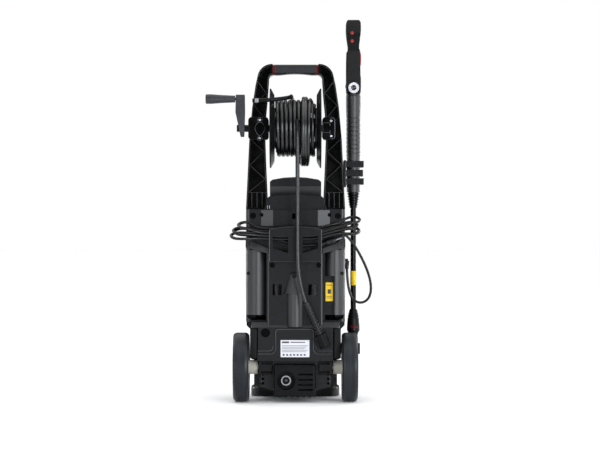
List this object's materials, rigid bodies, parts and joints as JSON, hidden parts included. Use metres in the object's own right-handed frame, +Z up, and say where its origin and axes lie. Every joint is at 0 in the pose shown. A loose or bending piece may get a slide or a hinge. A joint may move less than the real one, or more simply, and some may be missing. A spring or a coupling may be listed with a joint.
{
  "type": "pressure washer",
  "caption": "Upright electric pressure washer on two wheels, with a hose reel and crank in its handle, a clipped gun and lance, and a wound mains cord.",
  "frame": {"origin": "centre of the footprint of the machine without its cords, on the floor", "axes": "+X to the right seen from the rear, +Y from the rear towards the front, +Z up"},
  "size_m": [0.4488, 0.327, 1.035],
  "materials": {
    "shell_grey": "satin moulded",
    "gloss_black": "glossy moulded",
    "matte_black": "matte moulded",
    "slate_plastic": "satin moulded",
    "hub_grey": "satin moulded",
    "tyre": "worn rubber",
    "hose": "satin",
    "cord": "satin",
    "steel": "bright",
    "accent_red": "gloss",
    "iron": "painted",
    "aluminium": "cast",
    "label_white": "printed film",
    "label_yellow": "printed film"
  },
  "bodies": {
    "root": {"front_shell": "shell_grey", "rear_shell": "shell_grey", "base_pan": "shell_grey", "axle_carriers": "matte_black", "corner_guards": "matte_black", "pump_cover": "shell_grey", "front_foot": "matte_black", "foot_pads": "hose", "top_cover": "shell_grey", "neck_cover": "shell_grey", "cord_hook": "shell_grey", "handle_arm_left": "gloss_black", "handle_arm_right": "gloss_black", "handle_grip": "slate_plastic", "grip_accents": "accent_red", "reel_bearings": "gloss_black", "axle": "steel", "axle_caps": "matte_black", "gun_holder": "matte_black", "lance_clip": "matte_black", "water_inlet": "steel", "hose_boot": "hose", "hose_tail": "hose", "hose_free_end": "hose", "hose_fitting": "steel", "cord_gland": "cord", "power_cord_lead": "cord", "power_cord_hank": "cord", "power_plug": "cord", "motor_housing": "iron", "pump_block": "aluminium", "pump_pistons": "steel", "switch_box": "matte_black", "housing_screws": "steel"},
    "reel": {"reel_flange_left": "shell_grey", "reel_flange_right": "shell_grey", "reel_drum": "shell_grey", "reel_shaft": "gloss_black", "hose_coil": "hose", "crank_arm": "slate_plastic"},
    "crank_grip": {"crank_grip": "slate_plastic"},
    "wheel_left": {"tyre_left": "tyre", "wheel_left": "hub_grey"},
    "wheel_right": {"tyre_right": "tyre", "wheel_right": "hub_grey"},
    "gun": {"gun_shell_left": "matte_black", "gun_shell_right": "matte_black", "gun_valve": "steel", "trigger_pin": "steel", "gun_barrel": "shell_grey", "lance_coupling": "gloss_black", "lance_tube": "gloss_black", "nozzle_collar": "matte_black"},
    "trigger": {"gun_trigger": "matte_black"},
    "lock_button": {"lock_button": "accent_red"},
    "nozzle": {"nozzle_head": "matte_black"},
    "motor": {"motor_rotor": "iron", "cooling_fan": "matte_black", "thrust_plate": "steel"},
    "switch_knob": {"switch_knob": "accent_red"}
  },
  "joints": [
    {"name": "reel_spin", "type": "hinge", "parent": "root", "child": "reel", "pos_m": [0.028, -0.0465, 0.732], "axis": [1, 0, 0], "continuous": true},
    {"name": "crank_grip_spin", "type": "hinge", "parent": "reel", "child": "crank_grip", "pos_m": [-0.172, -0.0465, 0.811], "axis": [1, 0, 0], "continuous": true},
    {"name": "wheel_left_spin", "type": "hinge", "parent": "root", "child": "wheel_left", "pos_m": [-0.117, -0.0715, 0.092], "axis": [1, 0, 0], "continuous": true},
    {"name": "wheel_right_spin", "type": "hinge", "parent": "root", "child": "wheel_right", "pos_m": [0.173, -0.0715, 0.092], "axis": [1, 0, 0], "continuous": true},
    {"name": "gun_lift_out", "type": "slide", "parent": "root", "child": "gun", "axis": [1, 0, 0], "range_m": [0, 0.12]},
    {"name": "trigger_pull", "type": "hinge", "parent": "gun", "child": "trigger", "pos_m": [0.186, 0.0365, 0.88], "axis": [-1, 0, 0], "range_deg": [0, 9], "stiffness_Nm_per_rad": 0.4, "springref_deg": -11.46},
    {"name": "lock_button_press", "type": "slide", "parent": "gun", "child": "lock_button", "axis": [1, 0, 0], "range_m": [0, 0.003], "stiffness_N_per_m": 300, "springref_m": -0.001},
    {"name": "nozzle_twist", "type": "hinge", "parent": "gun", "child": "nozzle", "pos_m": [0.186, 0.0455, 0.19], "axis": [0, 0, 1], "range_deg": [-45, 45]},
    {"name": "motor_spin", "type": "hinge", "parent": "root", "child": "motor", "pos_m": [0.028, 0.0335, 0.3], "axis": [0, 0, 1], "continuous": true},
    {"name": "switch_turn", "type": "hinge", "parent": "root", "child": "switch_knob", "pos_m": [0.028, 0.1415, 0.43], "axis": [0, 1, 0], "range_deg": [0, 90]}
  ]
}
